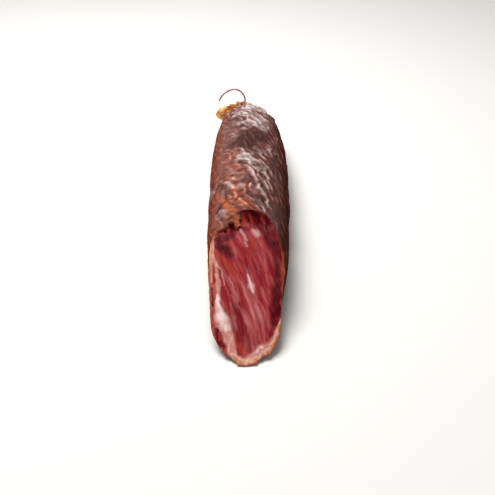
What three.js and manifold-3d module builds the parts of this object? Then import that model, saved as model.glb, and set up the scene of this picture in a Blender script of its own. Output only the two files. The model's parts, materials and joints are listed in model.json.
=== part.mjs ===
// A cured pork loin in its dry natural casing. It lies on its flattened underside, with a long
// oblique cut at the near end and a gathered, tied end at the far one.
// Millimetres: X to the right, Y from the cut towards the tied end, Z up, the table at Z = 0.

import * as THREE from 'three';
import { mergeVertices } from 'three/addons/utils/BufferGeometryUtils.js';
import Module from 'manifold-3d';

const wasm = await Module();
wasm.setup();

// Length of the loin, from the tip of the cut on the table to the tied neck
const NECK_Y = 331;
// The cut: its slope to the table, where its steeper top step starts, and how far that reaches
const CUT_SLOPE = THREE.MathUtils.degToRad(30);
const CUT_STEP_START = 86;
const CUT_STEP_END = 98;
// Widths across the cut, the thickest part and the far shoulder
const CUT_WIDTH = 50.5;
const FULL_WIDTH = 68;
const SHOULDER_WIDTH = 57;
// Where the loin starts to widen behind the tip of the cut, is at its widest, has narrowed to the
// far shoulder, and rounds off towards the neck at its sides, top and underside
const WIDENING_Y = 36;
const FULL_WIDTH_Y = 190;
const SHOULDER_Y = 300;
const SIDE_CLOSING_Y = 280;
const TOP_CLOSING_Y = 244;
const BASE_CLOSING_Y = 258;
// Height, how much of the round underside is pressed flat, how full its lower corners are (1 for
// an ellipse, less for fuller), and how far its middle lies to the right at the cut and beyond
const HEIGHT = 60;
const PRESSED_FLAT = 1.6;
const LOWER_FULLNESS = 0.86;
const CUT_DRIFT = -0.7;
const DRIFT = 2;
// The gathered neck
const NECK = new THREE.Vector3(-6, NECK_Y, 30);
const NECK_RADIUS = 4.6;
const NECK_LENGTH = 13;
// Wrinkles of the casing are waves: their height, their number round the loin and their pitch
// along it, which is negative for waves that twist the other way
const RIDGES = { height: 0.95, round: 16, pitch: 22 };
const RIDGE_WANDER = [{ height: 0.9, round: 3, pitch: -132 }, { height: 0.6, round: 2, pitch: 232 }];
const RIDGE_STRENGTH = { height: 0.35, round: 5, pitch: 94 };
const FOLDS = { height: 1.2, round: 4, pitch: 100 };
const FOLD_PATCHES = { height: 1, round: 2, pitch: -270 };
const PLEATS = { height: 1.3, round: 11, pitch: -250 };
const PLEATED_LENGTH = 34;
// The underside is smooth up to this height on the unit circle of the section
const SMOOTH_UNDERSIDE = -0.95;
const WRINKLED_ABOVE = -0.6;
// The dried tail of casing beyond the tie: a thin frill with a long lobe to the left
const TAIL_Y = NECK_Y + 10.5;
const TAIL_THICKNESS = 1.8;
const TAIL_REACH = 9.5;
const LEFT_LOBE = { reach: 18, direction: 195, spread: 27 };
const TOP_LOBE = { reach: 1, direction: 80, spread: 22 };
const TAIL_FLARE = 4;
const TAIL_SCALLOPS = { height: 0.1, round: 9, phase: 1 };
const TAIL_WAVES = [{ height: 2.2, round: 6, phase: 0.6 }, { height: 1.2, round: 11 }];
// Twine: its thickness, the turns of the tie and the gap that they keep to the casing
const TWINE = 1.5;
const TIE_TURNS = 3;
const TIE_GAP = 0.35;
const TIE_Y = NECK_Y + 1.9;
const KNOT_RADIUS = 1.25 * TWINE;
// The short stiff end of the twine, from the knot up and over to the left, chosen by hand
const STRING_ROUTE = [
  [-4.2, 336.4, 39.2],
  [-2.9, 336.4, 41.4],
  [-2.5, 336.2, 44.2],
  [-3.1, 336.0, 48.0],
  [-4.9, 335.9, 51.8],
  [-7.8, 335.9, 54.7],
  [-11.6, 336.0, 56.2],
  [-15.8, 336.2, 55.9],
  [-19.9, 336.4, 54.3],
  [-23.6, 336.6, 51.6],
  [-26.8, 336.8, 48.0],
  [-29.2, 336.9, 43.7],
];
// Facets round and along the loin: four to a ridge, which they follow as it twists round
const AROUND = 4 * RIDGES.round;
const ALONG = 62;
const TWIST = (2 * Math.PI) / (RIDGES.round * RIDGES.pitch);
// The body is first made longer than the cut leaves it, with its facets leaning over with the cut
// and upright again from the middle on
const UNCUT_START = -10;
const UPRIGHT_Y = 160;

// ---------------------------------------------------------------- solids and booleans

function bare(geometry) {
  const copy = geometry.clone();
  copy.deleteAttribute('normal');
  copy.deleteAttribute('uv');
  return mergeVertices(copy, 1e-4);
}

function toSolid(geometry) {
  const merged = bare(geometry);
  const vertProperties = new Float32Array(merged.attributes.position.array);
  const triVerts = new Uint32Array(merged.index.array);
  return new wasm.Manifold(new wasm.Mesh({ numProp: 3, vertProperties, triVerts }));
}

function toGeometry(solid) {
  const mesh = solid.getMesh();
  const geometry = new THREE.BufferGeometry();
  geometry.setAttribute('position', new THREE.BufferAttribute(new Float32Array(mesh.vertProperties), 3));
  geometry.setIndex(new THREE.BufferAttribute(new Uint32Array(mesh.triVerts), 1));
  geometry.computeVertexNormals();
  return geometry;
}

function reshape(geometry, place) {
  const positions = geometry.attributes.position;
  const point = new THREE.Vector3();
  for (let i = 0; i < positions.count; i += 1) {
    point.fromBufferAttribute(positions, i);
    place(point);
    positions.setXYZ(i, point.x, point.y, point.z);
  }
  return geometry;
}

// ---------------------------------------------------------------- the outline of the loin

function rise(value, start, end) {
  return THREE.MathUtils.clamp((value - start) / (end - start), 0, 1);
}

// One until start, then a quarter of an ellipse down to nothing at the neck
function closing(y, start) {
  return Math.sqrt(1 - rise(y, start, NECK_Y) ** 2);
}

function sectionAt(y) {
  const growth = Math.sin((Math.PI / 2) * rise(y, WIDENING_Y, FULL_WIDTH_Y));
  const narrowing = rise(y, FULL_WIDTH_Y, SHOULDER_Y) ** 2;
  const width = CUT_WIDTH + (FULL_WIDTH - CUT_WIDTH) * growth - (FULL_WIDTH - SHOULDER_WIDTH) * narrowing;
  const sides = closing(y, SIDE_CLOSING_Y);
  const drift = THREE.MathUtils.lerp(CUT_DRIFT, DRIFT, Math.sqrt(rise(y, WIDENING_Y, FULL_WIDTH_Y)));
  const top = NECK.z + NECK_RADIUS + (HEIGHT - NECK.z - NECK_RADIUS) * closing(y, TOP_CLOSING_Y);
  const base = NECK.z - NECK_RADIUS - (NECK.z - NECK_RADIUS + PRESSED_FLAT) * closing(y, BASE_CLOSING_Y);
  return {
    middleX: THREE.MathUtils.lerp(NECK.x, drift, sides),
    middleZ: (top + base) / 2,
    halfWidth: NECK_RADIUS + (width / 2 - NECK_RADIUS) * sides,
    halfHeight: (top - base) / 2,
  };
}

function wave(angle, y, { height, round, pitch = Infinity, phase = 0 }) {
  return height * Math.sin(round * angle - (2 * Math.PI * y) / pitch + phase);
}

// Ridges run over the top from the far left to the near right, and fade on the pressed underside
function wrinkle(angle, y) {
  const wander = RIDGE_WANDER.reduce((sum, shape) => sum + wave(angle, y, shape), 0);
  const strength = 1 - RIDGE_STRENGTH.height + wave(angle, y, RIDGE_STRENGTH);
  const ridge = strength * wave(angle, y, { ...RIDGES, phase: wander });
  const fold = wave(angle, y, FOLDS) * wave(angle, y, FOLD_PATCHES);
  return rise(Math.sin(angle), SMOOTH_UNDERSIDE, WRINKLED_ABOVE) * (ridge + fold);
}

// Wrinkles give way to pleats where the casing is gathered, and those end under the tie
function relief(angle, y) {
  const tied = NECK_Y - PLEATED_LENGTH / 4;
  const gathered = rise(y, NECK_Y - PLEATED_LENGTH, tied);
  const free = 1 - rise(y, tied, NECK_Y);
  return free * ((1 - gathered) * wrinkle(angle, y) + gathered * wave(angle, y, PLEATS));
}

// ---------------------------------------------------------------- the loin

function bodyGeometry() {
  const length = NECK_Y + NECK_LENGTH - UNCUT_START;
  return reshape(new THREE.CylinderGeometry(1, 1, 1, AROUND, ALONG), (point) => {
    const along = point.y + 0.5;
    const station = UNCUT_START + length * (1.15 * along - 0.15 * along ** 3);
    const turned = Math.atan2(point.z, point.x) + TWIST * station;
    const angle = Math.atan2(Math.sin(turned), Math.cos(turned));
    const radial = Math.hypot(point.x, point.z);
    const lean = (1 - rise(station, UNCUT_START, UPRIGHT_Y)) / Math.tan(CUT_SLOPE);
    const y = station + lean * (HEIGHT / 2) * (1 + radial * Math.sin(angle));
    const section = sectionAt(y);
    const size = (section.halfWidth + section.halfHeight) / 2;
    const scale = radial * (1 + relief(angle, y) / size);
    const across = Math.cos(angle);
    const fullness = angle < 0 ? LOWER_FULLNESS : 1;
    point.x = section.middleX + section.halfWidth * scale * Math.sign(across) * Math.abs(across) ** fullness;
    point.y = y;
    point.z = section.middleZ + section.halfHeight * scale * Math.sin(angle);
  });
}

// The side view of what the knife takes away: a straight slope, then a hollow step up at the top
function cutSolid() {
  const slope = Math.tan(CUT_SLOPE);
  const above = HEIGHT + 12;
  const profile = new THREE.Shape();
  profile.moveTo(-20 / slope, -20);
  profile.lineTo(CUT_STEP_START, CUT_STEP_START * slope);
  profile.quadraticCurveTo(
    CUT_STEP_START + 5,
    (CUT_STEP_START + 5) * slope,
    CUT_STEP_END,
    HEIGHT - 1,
  );
  profile.lineTo(CUT_STEP_END + 4, above);
  profile.lineTo(-120, above);
  profile.closePath();
  const wide = 2 * FULL_WIDTH;
  const block = new THREE.ExtrudeGeometry(profile, { depth: wide, bevelEnabled: false, curveSegments: 6 });
  return reshape(block, (point) => {
    point.set(point.z - wide / 2, point.x, point.y);
  });
}

function underTable() {
  const depth = 40;
  return new THREE.BoxGeometry(2 * FULL_WIDTH, 3 * NECK_Y, depth).translate(0, 0, -depth / 2);
}

function lobe(direction, shape) {
  const away = THREE.MathUtils.euclideanModulo(direction - shape.direction + 180, 360) - 180;
  return shape.reach * Math.exp(-((away / shape.spread) ** 2));
}

// A flattened ball drawn out into lobes, waved like the open end of a twisted wrapper
function tailGeometry() {
  return reshape(new THREE.SphereGeometry(1, 44, 12), (point) => {
    const angle = Math.atan2(point.z, point.x);
    const degrees = THREE.MathUtils.radToDeg(angle);
    const radial = Math.hypot(point.x, point.z);
    const scallop = 1 + wave(angle, 0, TAIL_SCALLOPS);
    const reach = radial * scallop * (TAIL_REACH + lobe(degrees, LEFT_LOBE) + lobe(degrees, TOP_LOBE));
    const waves = TAIL_WAVES.reduce((sum, shape) => sum + wave(angle, 0, shape), TAIL_FLARE);
    point.x = NECK.x + reach * Math.cos(angle);
    point.z = NECK.z + reach * Math.sin(angle);
    point.y = TAIL_Y + waves * radial ** 2 + (point.y * TAIL_THICKNESS) / 2;
  });
}

function loinGeometry() {
  const body = toSolid(bodyGeometry()).subtract(toSolid(cutSolid())).subtract(toSolid(underTable()));
  return toGeometry(body.add(toSolid(tailGeometry())));
}

// ---------------------------------------------------------------- the string

// Turns of twine side by side round the neck, with a knot on top
function tieGeometry() {
  const radius = TWINE / 2;
  const inner = NECK_RADIUS + TIE_GAP;
  const ends = TIE_TURNS * TWINE;
  const profile = [new THREE.Vector2(inner, 0)];
  for (let turn = 0; turn < TIE_TURNS; turn += 1) {
    for (let step = 0; step <= 4; step += 1) {
      const sweep = -Math.PI / 2 + (Math.PI * step) / 4;
      const bulge = inner + radius + radius * Math.cos(sweep);
      const y = TWINE * (turn + 0.5) + radius * Math.sin(sweep);
      if (step > 0 || turn === 0) {
        profile.push(new THREE.Vector2(bulge, y));
      }
    }
  }
  profile.push(new THREE.Vector2(inner, ends), new THREE.Vector2(inner, 0));
  const turns = new THREE.LatheGeometry(profile, 28).translate(NECK.x, TIE_Y, NECK.z);
  const knot = new THREE.SphereGeometry(KNOT_RADIUS, 12, 8);
  knot.scale(1.25, 1, 0.8).translate(NECK.x + 1, TIE_Y + ends / 2, NECK.z + inner + TWINE);
  return toGeometry(toSolid(turns).add(toSolid(knot)));
}

function stringGeometry() {
  const route = new THREE.CatmullRomCurve3(STRING_ROUTE.map((place) => new THREE.Vector3(...place)));
  const section = new THREE.Shape();
  for (let side = 0; side < 8; side += 1) {
    const angle = (2 * Math.PI * side) / 8;
    const corner = [(TWINE / 2) * Math.cos(angle), (TWINE / 2) * Math.sin(angle)];
    if (side === 0) {
      section.moveTo(...corner);
    } else {
      section.lineTo(...corner);
    }
  }
  section.closePath();
  return new THREE.ExtrudeGeometry(section, { extrudePath: route, steps: 22, bevelEnabled: false });
}

// ---------------------------------------------------------------- the finished group

function named(name, geometry, color, roughness) {
  const mesh = new THREE.Mesh(geometry, new THREE.MeshStandardMaterial({ color, roughness, metalness: 0 }));
  mesh.name = name;
  return mesh;
}

const loin = named('loin', loinGeometry(), '#6b4a44', 0.75);
const stringTie = named('string_tie', tieGeometry(), '#8c5a4a', 0.85);
const stringEnd = named('string_end', bare(stringGeometry()), '#8c4a44', 0.85);

// The frame's origin is under the middle of the loin and its tie, on the table
const extent = new THREE.Box3().setFromObject(loin).union(new THREE.Box3().setFromObject(stringTie));
const middle = extent.getCenter(new THREE.Vector3());

const group = new THREE.Group();
group.add(loin, stringTie, stringEnd);
group.position.set(-middle.x, -middle.y, 0);

export default group;
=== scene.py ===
# %% [markdown]
# # A dry-cured pork loin in its natural casing
# The real object is a whole muscle that was salted, pushed into a natural casing, tied at its far end and
# hung to dry. The casing shrank into slanting wrinkles with a pale bloom on their crests, and the near end
# was cut off at a slant, which shows dark red meat, a seam of fat and the thin edge of the casing.

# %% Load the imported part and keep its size
import json
import math

import bpy
import numpy as np
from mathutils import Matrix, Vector

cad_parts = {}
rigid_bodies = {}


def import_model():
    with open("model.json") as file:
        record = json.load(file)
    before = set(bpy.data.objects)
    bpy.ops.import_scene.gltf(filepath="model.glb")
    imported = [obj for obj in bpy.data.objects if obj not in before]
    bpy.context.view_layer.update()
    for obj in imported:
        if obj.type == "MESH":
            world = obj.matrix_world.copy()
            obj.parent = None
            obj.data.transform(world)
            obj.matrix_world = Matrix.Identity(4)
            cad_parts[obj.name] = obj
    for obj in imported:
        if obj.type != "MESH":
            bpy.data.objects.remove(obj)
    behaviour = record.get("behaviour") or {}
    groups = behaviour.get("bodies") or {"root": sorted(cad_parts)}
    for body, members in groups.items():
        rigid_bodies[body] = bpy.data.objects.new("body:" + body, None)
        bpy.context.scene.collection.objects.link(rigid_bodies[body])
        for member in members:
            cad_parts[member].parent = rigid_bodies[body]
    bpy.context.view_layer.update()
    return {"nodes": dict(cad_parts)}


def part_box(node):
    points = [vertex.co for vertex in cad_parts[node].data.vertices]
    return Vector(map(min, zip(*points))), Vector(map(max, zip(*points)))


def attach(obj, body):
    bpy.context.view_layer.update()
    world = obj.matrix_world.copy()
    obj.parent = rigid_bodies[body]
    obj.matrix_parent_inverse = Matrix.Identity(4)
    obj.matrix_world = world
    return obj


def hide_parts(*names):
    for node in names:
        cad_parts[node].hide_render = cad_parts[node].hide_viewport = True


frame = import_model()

print("nodes:", sorted(frame["nodes"]))

# %% [markdown]
# All sizes below are in mm from the lowest point of the cut, the tip, with X to the right, Y away from the
# camera and Z up. They could be typed straight in the frame's metres, but distances from one visible point
# are easier to measure and to change.

# %% Points in mm from the tip of the cut
MM = 0.001
NECK_X = -6.0
tie_low, tie_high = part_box("string_tie")
TIP = Vector(((tie_low.x + tie_high.x) / 2 - NECK_X * MM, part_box("loin")[0].y, 0.0))


def place(x, y, z):
    """A point given in mm from the tip, as a point of the frame in metres."""
    return TIP + Vector((x, y, z)) * MM


def shape_points(obj, points):
    """Moves every point of a mesh to the given places in metres."""
    obj.data.vertices.foreach_set("co", np.asarray(points, np.float32).ravel())
    obj.data.update()


def points_of(obj):
    """All points of a mesh as rows of x, y and z in metres."""
    flat = np.empty(len(obj.data.vertices) * 3, np.float32)
    obj.data.vertices.foreach_get("co", flat)
    return flat.reshape(-1, 3).astype(float)


def mm_from_tip(obj):
    """The x, y and z of all points of a mesh, in mm from the tip."""
    return ((points_of(obj) - np.array(TIP)) / MM).T


print("tip of the cut at", [round(v, 4) for v in TIP])

# %% [markdown]
# The pieces are shaped with the tools of edit mode, as by hand. Such a tool acts on all that is selected,
# so everything is deselected before each new piece. Two steps come back with every piece, opening its
# mesh and closing it with its faces turned outwards, so each is a function.

# %% Opening and closing a mesh
def edit_whole_mesh():
    """Opens the active mesh in edit mode with all of it selected."""
    bpy.ops.object.mode_set(mode="EDIT")
    bpy.ops.mesh.select_all(action="SELECT")


def close_with_faces_out():
    """Turns all faces of the open mesh outwards and leaves edit mode."""
    bpy.ops.mesh.select_all(action="SELECT")
    bpy.ops.mesh.normals_make_consistent(inside=False)
    bpy.ops.object.mode_set(mode="OBJECT")


print("ready to model in", bpy.context.mode.lower(), "mode")

# %% [markdown]
# The camera stands before the cut end and looks down on it by 35 degrees, so that the slanting cut face is
# seen almost square on and the rest of the loin runs away from it. It could be aimed at a point, but a
# place and a pitch are what can be read from a photograph.

# %% Camera
CAMERA_BACK = 327.5
CAMERA_HEIGHT = 325.0
LOOKS_DOWN = 35
bpy.ops.object.camera_add(
    location=place(0, -CAMERA_BACK, CAMERA_HEIGHT), rotation=(math.radians(90 - LOOKS_DOWN), 0, 0)
)
camera = bpy.context.object
camera.data.lens = 50
camera.data.sensor_width = 36
camera.data.clip_start = 0.01
bpy.context.scene.camera = camera
print("camera", round(math.hypot(CAMERA_BACK, CAMERA_HEIGHT)), "mm from the tip")

# %% [markdown]
# The loin was tied with thin twisted cotton string. A round tube would look like wire. A bevelled curve
# turned into a mesh gives rings of points along the string, and moving them in and out as three turning
# lobes gives it its plies.

# %% Twine along a route
TWINE = 1.5
TWINE_SIDES = 18
PLIES = 3
TWIST_LENGTH = 7.0
# shares of the string's radius: how far out a groove lies, and how much further out the top of a ply is
GROOVE = 0.8
PLY = 0.25


def twist_plies(obj):
    """Turns a round tube into twisted plies, and returns the middles of its rings in metres."""
    rings = points_of(obj).reshape(-1, TWINE_SIDES, 3)
    # the first two rings are the caps, of the last ring and of the first
    middles = rings[2:].mean(1)
    along = np.r_[0, np.cumsum(np.linalg.norm(np.diff(middles, axis=0), axis=1))] / MM
    angle = np.arange(TWINE_SIDES) * 2 * np.pi / TWINE_SIDES
    turned = angle[None, :] - along[:, None] * 2 * np.pi / TWIST_LENGTH
    lobes = np.abs(np.cos(PLIES / 2 * turned))
    out = (rings[2:] - middles[:, None, :]) * (GROOVE + PLY * lobes[..., None] ** 0.7)
    rings[2:] = middles[:, None, :] + out
    rings[0], rings[1] = rings[-1], rings[2]
    shape_points(obj, rings)
    return middles


def twine(name, route, tip_swells=1.0):
    """A piece of string along a route in mm, and the middles of its rings in metres."""
    bpy.ops.object.select_all(action="DESELECT")
    bpy.ops.curve.primitive_bezier_curve_add(location=(0, 0, 0))
    bpy.context.object.name = name
    curve = bpy.context.object.data
    curve.bevel_depth = TWINE / 2 * MM
    curve.bevel_resolution = TWINE_SIDES // 2 - 2
    curve.resolution_u = 8
    curve.use_fill_caps = True
    spline = curve.splines[0]
    spline.bezier_points.add(len(route) - len(spline.bezier_points))
    for i, (point, at) in enumerate(zip(spline.bezier_points, route)):
        point.co = place(*at)
        point.handle_left_type = point.handle_right_type = "AUTO"
        point.radius = 1.0 + (tip_swells - 1.0) * i / (len(route) - 1)
    bpy.ops.object.convert(target="MESH")
    obj = bpy.context.object
    middles = twist_plies(obj)
    edit_whole_mesh()
    bpy.ops.mesh.remove_doubles(threshold=0.001 * MM)
    bpy.ops.object.mode_set(mode="OBJECT")
    bpy.ops.object.shade_smooth()
    print(name, "has", len(middles), "rings")
    return obj, middles


# %% [markdown]
# One end of the string, stiff with dried brine, curls up over the far end of the loin. Its route is a list
# of points, because a physics run would let it fall, and its twist opens a little to the tip.

# %% The stiff end of the string
STRING_ROUTE = (
    (-4.2, 336.4, 39.2),
    (-2.9, 336.4, 41.4),
    (-2.5, 336.2, 44.2),
    (-3.1, 336.0, 48.0),
    (-4.9, 335.9, 51.8),
    (-7.8, 335.9, 54.7),
    (-11.6, 336.0, 56.2),
    (-15.8, 336.2, 55.9),
    (-19.9, 336.4, 54.3),
    (-23.6, 336.6, 51.6),
    (-26.8, 336.8, 48.0),
    (-29.2, 336.9, 43.7),
)
string_curl, curl_line = twine("string_curl", STRING_ROUTE, tip_swells=1.25)
curl_length = np.linalg.norm(np.diff(curl_line, axis=0), axis=1).sum()
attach(string_curl, "root")
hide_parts("string_end")
print("string end is", round(curl_length / MM, 1), "mm long")

# %% [markdown]
# The string goes three times round the gathered neck and is closed with a knot on top. Both could be
# routes drawn by hand, but turns are a helix and a small round knot is a line that crosses itself three
# times, so a loop works out each of them from a few sizes.

# %% Turns of string round the neck
NECK_Z = 30.0
TURNS = 3
STEPS_A_TURN = 16
SPARE_STEPS = 3
TURN_RADIUS = 5.6
TURN_STEP = 1.45
TIE_START_Y = 333.6
turn_route = []
for step in range(TURNS * STEPS_A_TURN + SPARE_STEPS):
    turn = step / STEPS_A_TURN * 2 * math.pi
    x = NECK_X + TURN_RADIUS * math.sin(turn)
    y = TIE_START_Y + TURN_STEP * step / STEPS_A_TURN
    z = NECK_Z + TURN_RADIUS * math.cos(turn)
    turn_route.append((x, y, z))
string_turns, _ = twine("string_turns", turn_route)

# %% Knot of the string
KNOT_POINTS = 25
# size across and along the neck, and how far the line passes over and under itself
KNOT_ACROSS = 0.62
KNOT_ALONG = 0.55
KNOT_OVER = 0.7
KNOT_X = NECK_X + 1.2
KNOT_Y = TIE_START_Y + 1.6
KNOT_Z = NECK_Z + TURN_RADIUS + 0.9
knot_route = []
for step in range(KNOT_POINTS):
    turn = step / (KNOT_POINTS - 1) * 2 * math.pi
    x = KNOT_X + KNOT_ACROSS * (math.sin(turn) + 2 * math.sin(2 * turn))
    y = KNOT_Y + KNOT_ALONG * (math.cos(turn) - 2 * math.cos(2 * turn))
    z = KNOT_Z - KNOT_OVER * math.sin(3 * turn)
    knot_route.append((x, y, z))
string_knot, _ = twine("string_knot", knot_route)
for piece in (string_turns, string_knot):
    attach(piece, "root")
    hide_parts("string_tie")

# %% [markdown]
# The loin itself is close to a long loaf: flat underneath, fuller low down, widest a little beyond the
# middle and closing to a neck at the tie. A stretched sphere would be too even, so a circle with the right
# section is extruded from ring to ring, each ring moved and resized to the width and height it has there.

# %% Section and rings of the body
# out and up of the points of the section: both sides share the low half, the right shoulder slopes sooner
LOW_HALF = (
    (0, -1), (0.16, -0.991), (0.35, -0.955), (0.54, -0.885), (0.72, -0.79), (0.86, -0.68), (0.95, -0.56),
    (0.99, -0.43), (1, -0.28), (1, -0.1),
)
RIGHT_SHOULDER = (
    (0.985, 0.08), (0.945, 0.22), (0.89, 0.34), (0.81, 0.46), (0.73, 0.57), (0.64, 0.68), (0.54, 0.79),
    (0.41, 0.88), (0.22, 0.965), (0, 1),
)
LEFT_SHOULDER = (
    (1, 0.1), (0.98, 0.26), (0.94, 0.4), (0.86, 0.53), (0.75, 0.66), (0.61, 0.78), (0.46, 0.875),
    (0.31, 0.945), (0.16, 0.985), (0, 1),
)
LEFT_SIDE = LOW_HALF + LEFT_SHOULDER
SECTION = LOW_HALF + RIGHT_SHOULDER + tuple((-out, up) for out, up in LEFT_SIDE[-2:0:-1])
# y, left, right, underside and top of each ring
RINGS = (
    (-14, -24.6, 24.0, 0.1, 48),
    (0, -25.2, 24.6, 0.0, 52),
    (12, -25.6, 24.8, -0.3, 54),
    (22, -25.8, 24.0, -0.6, 56),
    (34, -25.8, 23.0, -0.8, 57.6),
    (48, -26.2, 24.4, -1.0, 59),
    (67, -28.0, 28.2, -1.2, 60.4),
    (92, -30.0, 31.0, -1.3, 60.8),
    (119, -30.8, 32.6, -1.4, 61.0),
    (148, -31.4, 34.6, -1.5, 61.4),
    (181, -32.0, 35.8, -1.5, 61.6),
    (216, -31.6, 36.2, -1.5, 61.4),
    (250, -31.2, 35.4, -1.4, 60.4),
    (276, -29.6, 33.8, -0.2, 57.4),
    (298, -27.4, 31.0, 3.5, 52.2),
    (311, -24.9, 27.6, 8.6, 49.8),
    (321, -19.8, 21.0, 13.6, 46.4),
    (328, -13.6, 13.0, 19.6, 44.6),
    (331.5, -10.8, -1.4, 25.2, 34.8),
    (338, -10.6, -1.4, 25.4, 34.6),
    (343, -10.8, -1.2, 25.2, 34.8),
)
print(len(RINGS), "rings of", len(SECTION), "points")


# %% Body of the loin
def ring_middle(ring):
    """The middle of a ring, as a point of the frame."""
    y, left, right, under, top = ring
    return place((left + right) / 2, y, (under + top) / 2)


def ring_size(ring):
    """What the section is resized by for a ring: half its width and half its height in metres."""
    y, left, right, under, top = ring
    return Vector(((right - left) / 2 * MM, 1.0, (top - under) / 2 * MM))


bpy.ops.object.select_all(action="DESELECT")
bpy.ops.mesh.primitive_circle_add(vertices=len(SECTION), radius=1, fill_type="NGON", location=(0, 0, 0))
loin = bpy.context.object
loin.name = "cured_loin"
shape_points(loin, [(out, 0, up) for out, up in SECTION])
edit_whole_mesh()
bpy.ops.transform.resize(value=ring_size(RINGS[0]), center_override=(0, 0, 0))
bpy.ops.transform.translate(value=ring_middle(RINGS[0]))
for before, ring in zip(RINGS, RINGS[1:]):
    shift = ring_middle(ring) - ring_middle(before)
    old, new = ring_size(before), ring_size(ring)
    bpy.ops.mesh.extrude_region_move(TRANSFORM_OT_translate={"value": shift})
    bpy.ops.transform.resize(value=(new.x / old.x, 1, new.z / old.z), center_override=ring_middle(ring))
close_with_faces_out()
rounding = loin.modifiers.new("round", "SUBSURF")
rounding.levels = 2
bpy.ops.object.modifier_apply(modifier="round")
print("body:", len(loin.data.polygons), "faces")

# %% [markdown]
# A knife took the near end off in one long slanting stroke that stops in a short, steeper step under the
# top of the casing. The body runs on past the cut, and a block with that side outline is taken away from
# it, because bisect cuts only along one plane.

# %% Block that the knife takes away
SLOPE = math.radians(30)
BLOCK_WIDTH = 120
# y and z of the block's side; all but its first two and last two points touch the meat
CUT_SIDE = (
    (-60, -5),
    (-1.8, -5),
    (-1.6, 0.8),
    (3, 2.3),
    (80, 80 * math.tan(SLOPE)),
    (86, 49.4),
    (90, 51.6),
    (94, 54.6),
    (97, 58.0),
    (98.2, 62.0),
    (98.6, 90),
    (-60, 90),
)
bpy.ops.object.select_all(action="DESELECT")
bpy.ops.mesh.primitive_circle_add(vertices=len(CUT_SIDE), radius=1, fill_type="NGON", location=(0, 0, 0))
knife = bpy.context.object
shape_points(knife, [place(-BLOCK_WIDTH / 2, y, z) for y, z in CUT_SIDE])
edit_whole_mesh()
bpy.ops.mesh.extrude_region_move(TRANSFORM_OT_translate={"value": (BLOCK_WIDTH * MM, 0, 0)})
close_with_faces_out()
print("block:", [round(v / MM) for v in knife.dimensions], "mm")

# %% The cut
bpy.ops.object.select_all(action="DESELECT")
loin.select_set(True)
bpy.context.view_layer.objects.active = loin
cut = loin.modifiers.new("cut", "BOOLEAN")
cut.operation = "DIFFERENCE"
cut.solver = "EXACT"
cut.object = knife
bpy.ops.object.modifier_apply(modifier="cut")
bpy.data.objects.remove(knife)
print("cut body:", len(loin.data.polygons), "faces")

# %% [markdown]
# The loin lay on its underside while it dried, which pressed it flat, so one plane cuts it there. The long
# faces of the body are too few for wrinkles. Subdividing them would leave them long, and a voxel remesh
# gives small faces of one size all over.

# %% Flat underside and even faces
UNDERSIDE = 0.2
FACE_SIZE = 1.05
edit_whole_mesh()
bpy.ops.mesh.bisect(
    plane_co=(0, 0, UNDERSIDE * MM), plane_no=(0, 0, 1), use_fill=True, clear_inner=True
)
bpy.ops.object.mode_set(mode="OBJECT")
even = loin.modifiers.new("even", "REMESH")
even.mode = "VOXEL"
even.voxel_size = FACE_SIZE * MM
bpy.ops.object.modifier_apply(modifier="even")
print("even mesh:", len(loin.data.polygons), "faces")

# %% [markdown]
# Everything that follows needs to know where a point lies on the meat: how far round the loin it is from
# the middle of the top, how far it is from the cut, and how far up the cut face. Painting by hand would
# find the same places, but these distances are measured on the mesh and stay true when a ring changes.

# %% Measures on the loin
CUT_LINE = np.array(CUT_SIDE[2:-2], float)
ROUND_RADIUS = 31.0


def from_cut(y, z):
    """Distance in mm from the side outline of the cut."""
    best = np.full(len(y), np.inf)
    for (y0, z0), (y1, z1) in zip(CUT_LINE, CUT_LINE[1:]):
        dy, dz = y1 - y0, z1 - z0
        part = np.clip(((y - y0) * dy + (z - z0) * dz) / (dy * dy + dz * dz), 0, 1)
        best = np.minimum(best, np.hypot(y - y0 - part * dy, z - z0 - part * dz))
    return best


def round_the_loin(x, y, z):
    """Distance in mm round the loin from the middle of its top, positive to the right."""
    rings = np.array(RINGS, float)
    left, right, under, top = (np.interp(y, rings[:, 0], rings[:, i]) for i in (1, 2, 3, 4))
    turn = np.arctan2((z - (under + top) / 2) / (top - under), (x - (left + right) / 2) / (right - left))
    turn = np.where(turn < -math.pi / 2, turn + 2 * math.pi, turn)
    return (math.pi / 2 - turn) * ROUND_RADIUS


def ramp(value, start, end):
    """Smooth step from 0 at start to 1 at end."""
    part = np.clip((value - start) / (end - start), 0, 1)
    return part * part * (3 - 2 * part)


print("half way round the loin is", round(math.pi * ROUND_RADIUS), "mm")

# %% [markdown]
# The remesh leaves small steps along the edges of the cut and a sharp lower tip, where a knife leaves a
# soft edge in meat. A bevel would need one clean line of edges, so the points there are smoothed instead.
# The cut face then gets twice as many points each way, because its fat seams are narrow.

# %% Softer edges and a finer cut face
EDGE_REACH = 1.7
TIP_DEPTH = 6
TIP_HEIGHT = 3.5
CUT_SKIN = 0.7


def smooth_where(chosen, times):
    """Lets the chosen points of the loin move towards their neighbours."""
    bpy.ops.object.mode_set(mode="EDIT")
    bpy.ops.mesh.select_mode(type="VERT")
    bpy.ops.mesh.select_all(action="DESELECT")
    bpy.ops.object.mode_set(mode="OBJECT")
    loin.data.vertices.foreach_set("select", chosen.tolist())
    bpy.ops.object.mode_set(mode="EDIT")
    bpy.ops.mesh.vertices_smooth(factor=0.5, repeat=times)
    bpy.ops.mesh.select_all(action="DESELECT")
    bpy.ops.object.mode_set(mode="OBJECT")


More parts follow.
